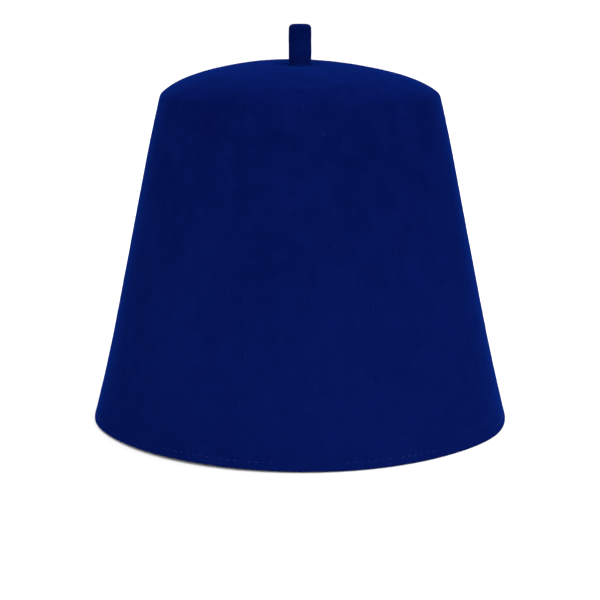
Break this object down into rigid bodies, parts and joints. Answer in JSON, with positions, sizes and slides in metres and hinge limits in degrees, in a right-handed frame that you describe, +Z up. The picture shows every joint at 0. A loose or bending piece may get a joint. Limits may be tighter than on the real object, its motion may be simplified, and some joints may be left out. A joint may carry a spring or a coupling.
{
  "type": "felt fez",
  "caption": "Tapering round felt hat, open below, with a soft shoulder, a low domed top and a short felt stem standing in the middle of it.",
  "frame": {"origin": "middle of the rim, on the surface that the rim rests on", "axes": "+Z up along the stem; the front of the hat, as the picture shows it, faces -Y; +X is to the picture's right"},
  "size_m": [0.1864, 0.1864, 0.174],
  "materials": {
    "crown_felt": "matt blue wool felt with a short nap",
    "stem_felt": "matt dark blue wool felt"
  },
  "bodies": {
    "root": {"crown": "crown_felt", "stem": "stem_felt"}
  },
  "joints": []
}
